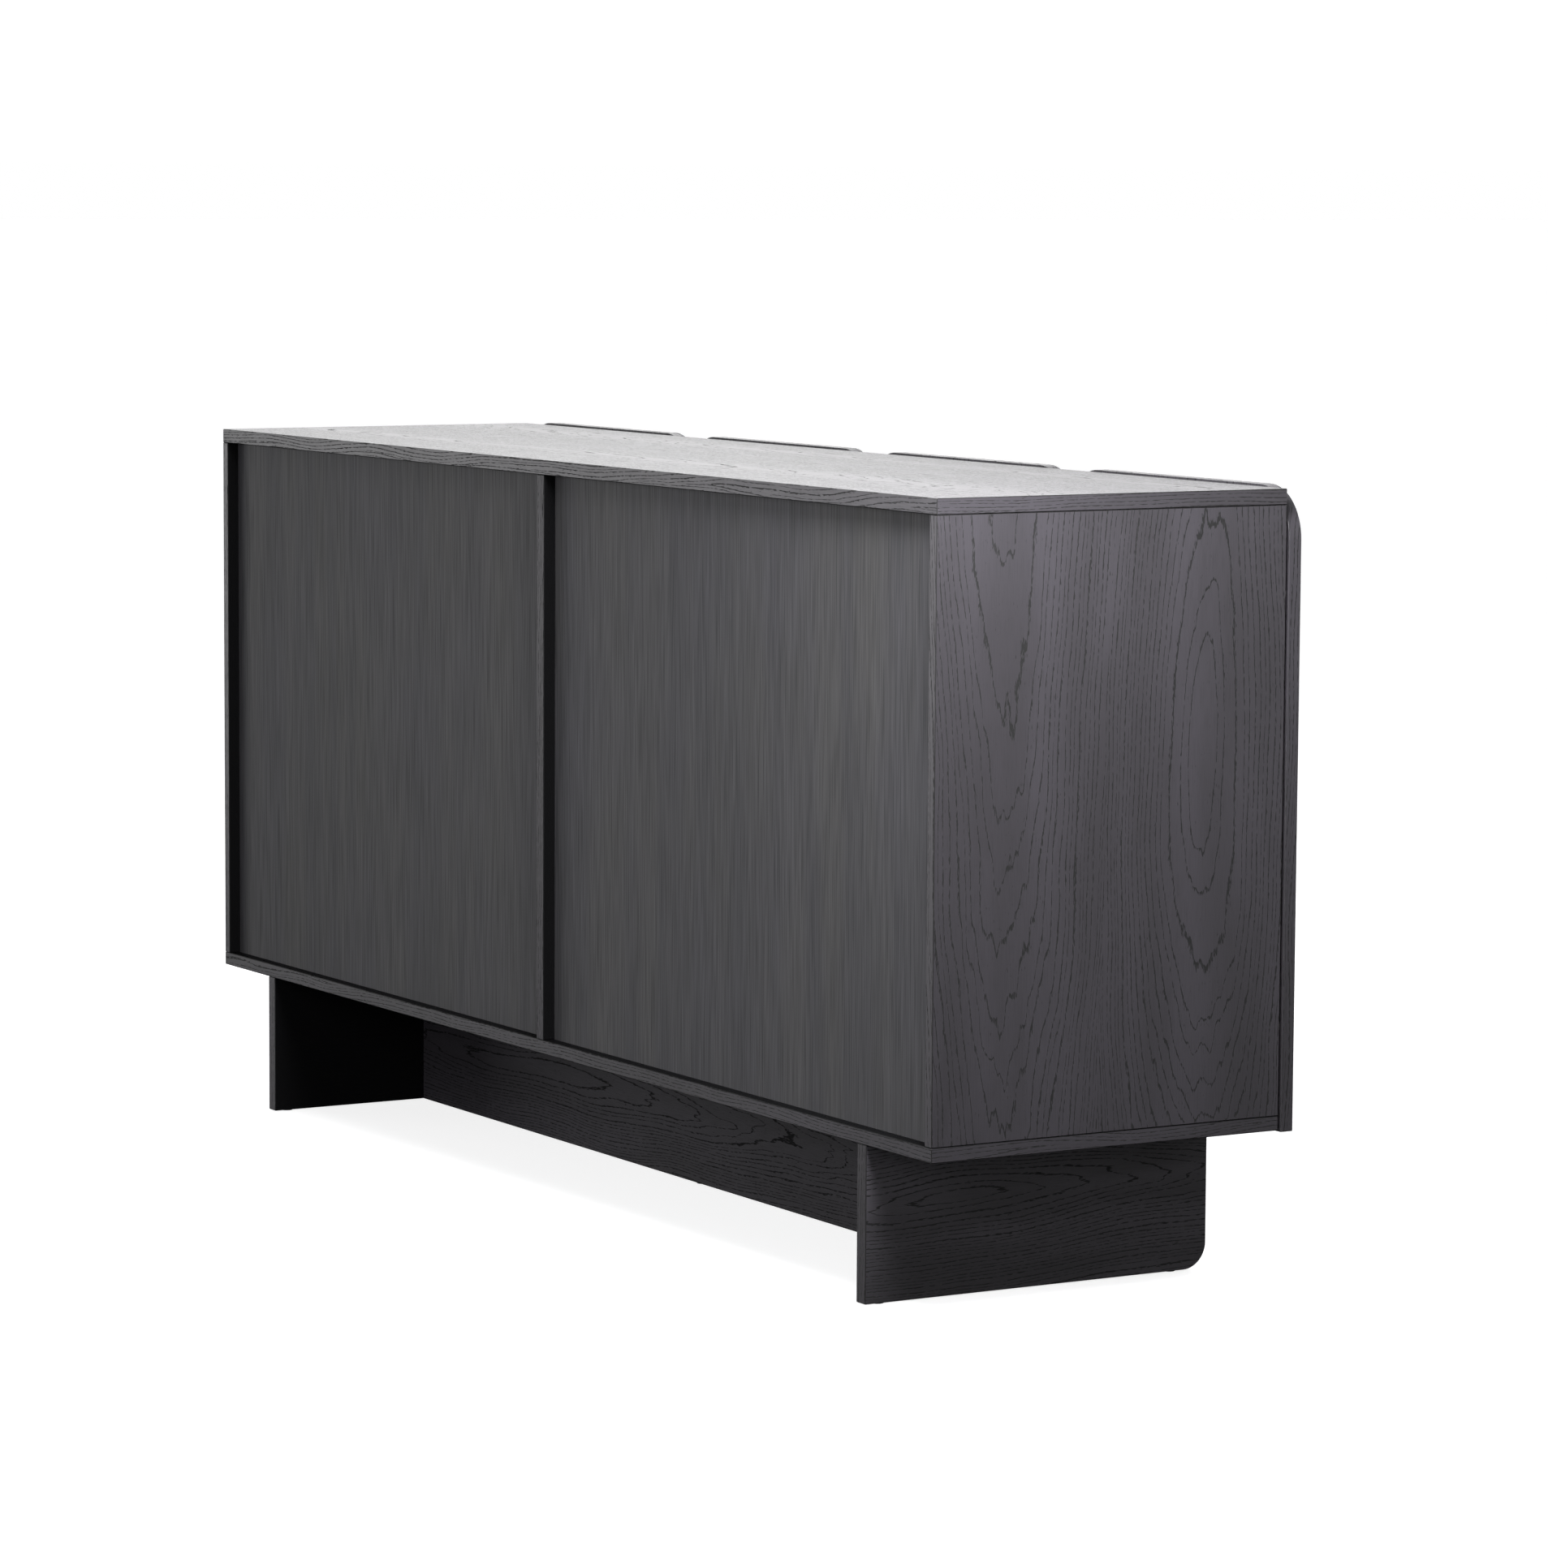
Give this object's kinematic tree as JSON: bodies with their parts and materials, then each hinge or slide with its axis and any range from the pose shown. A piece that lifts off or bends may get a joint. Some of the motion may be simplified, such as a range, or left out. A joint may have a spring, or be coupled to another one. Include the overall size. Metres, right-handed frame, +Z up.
{
  "type": "dresser with drawers",
  "caption": "Low sideboard dresser in black-stained oak veneer with end doors, stacked drawers between them, round-topped overlay fronts and an H-shaped panel base.",
  "frame": {"origin": "on the floor under the middle of the whole dresser, fronts included", "axes": "+X to the right seen from the front, -Y the way the fronts face, +Z up"},
  "size_m": [1.5, 0.4, 0.754],
  "materials": {
    "oak_veneer": "black-stained oak veneer, open grain, satin lacquer",
    "back_veneer": "black-stained straight-grain veneer, matt",
    "interior_board": "black-stained veneered board, matt",
    "drawer_board": "dark foil-covered board, matt",
    "runner_steel": "zinc-plated rolled steel",
    "plated_steel": "nickel-plated, satin",
    "dowel_beech": "plain fluted beech",
    "black_plastic": "moulded, fine texture",
    "grey_plastic": "moulded, smooth"
  },
  "bodies": {
    "carcass": {"back_panel_left": "back_veneer", "back_panel_right": "back_veneer", "base_rail": "oak_veneer", "base_screws": "plated_steel", "bottom_panel": "oak_veneer", "cabinet_runners": "runner_steel", "cam_bolts": "plated_steel", "cam_locks": "plated_steel", "centre_divider": "oak_veneer", "dowels": "dowel_beech", "floor_glides": "black_plastic", "hinge_arms": "plated_steel", "latch_housings": "black_plastic", "leg_panel_left": "oak_veneer", "leg_panel_right": "oak_veneer", "partition_left": "interior_board", "partition_right": "interior_board", "shelf_left": "interior_board", "shelf_pins": "plated_steel", "shelf_right": "interior_board", "side_panel_left": "oak_veneer", "side_panel_right": "oak_veneer", "top_panel": "oak_veneer"},
    "door_left": {"door_left": "oak_veneer", "hinge_cups_left": "plated_steel"},
    "door_right": {"door_right": "oak_veneer", "hinge_cups_right": "plated_steel"},
    "drawer_1": {"drawer_1_back": "drawer_board", "drawer_1_bottom": "drawer_board", "drawer_1_front": "oak_veneer", "drawer_1_runners": "runner_steel", "drawer_1_sides": "drawer_board"},
    "drawer_2": {"drawer_2_back": "drawer_board", "drawer_2_bottom": "drawer_board", "drawer_2_front": "oak_veneer", "drawer_2_runners": "runner_steel", "drawer_2_sides": "drawer_board"},
    "drawer_3": {"drawer_3_back": "drawer_board", "drawer_3_bottom": "drawer_board", "drawer_3_front": "oak_veneer", "drawer_3_runners": "runner_steel", "drawer_3_sides": "drawer_board"},
    "drawer_4": {"drawer_4_back": "drawer_board", "drawer_4_bottom": "drawer_board", "drawer_4_front": "oak_veneer", "drawer_4_runners": "runner_steel", "drawer_4_sides": "drawer_board"},
    "drawer_5": {"drawer_5_back": "drawer_board", "drawer_5_bottom": "drawer_board", "drawer_5_front": "oak_veneer", "drawer_5_runners": "runner_steel", "drawer_5_sides": "drawer_board"},
    "drawer_6": {"drawer_6_back": "drawer_board", "drawer_6_bottom": "drawer_board", "drawer_6_front": "oak_veneer", "drawer_6_runners": "runner_steel", "drawer_6_sides": "drawer_board"},
    "latch_plunger_left": {"latch_plunger_left": "grey_plastic"},
    "latch_plunger_right": {"latch_plunger_right": "grey_plastic"}
  },
  "joints": [
    {"name": "door_left_hinge", "type": "hinge", "parent": "carcass", "child": "door_left", "pos_m": [-0.75, -0.1845, 0.451], "axis": [0, 0, -1], "range_deg": [0, 110]},
    {"name": "latch_left_press", "type": "slide", "parent": "carcass", "child": "latch_plunger_left", "axis": [0, 1, 0], "range_m": [0, 0.0025], "stiffness_N_per_m": 400, "springref_m": -0.002},
    {"name": "door_right_hinge", "type": "hinge", "parent": "carcass", "child": "door_right", "pos_m": [0.75, -0.1845, 0.451], "axis": [0, 0, 1], "range_deg": [0, 110]},
    {"name": "latch_right_press", "type": "slide", "parent": "carcass", "child": "latch_plunger_right", "axis": [0, 1, 0], "range_m": [0, 0.0025], "stiffness_N_per_m": 400, "springref_m": -0.002},
    {"name": "drawer_1_slide", "type": "slide", "parent": "carcass", "child": "drawer_1", "axis": [0, -1, 0], "range_m": [0, 0.26]},
    {"name": "drawer_2_slide", "type": "slide", "parent": "carcass", "child": "drawer_2", "axis": [0, -1, 0], "range_m": [0, 0.26]},
    {"name": "drawer_3_slide", "type": "slide", "parent": "carcass", "child": "drawer_3", "axis": [0, -1, 0], "range_m": [0, 0.26]},
    {"name": "drawer_4_slide", "type": "slide", "parent": "carcass", "child": "drawer_4", "axis": [0, -1, 0], "range_m": [0, 0.26]},
    {"name": "drawer_5_slide", "type": "slide", "parent": "carcass", "child": "drawer_5", "axis": [0, -1, 0], "range_m": [0, 0.26]},
    {"name": "drawer_6_slide", "type": "slide", "parent": "carcass", "child": "drawer_6", "axis": [0, -1, 0], "range_m": [0, 0.26]}
  ]
}
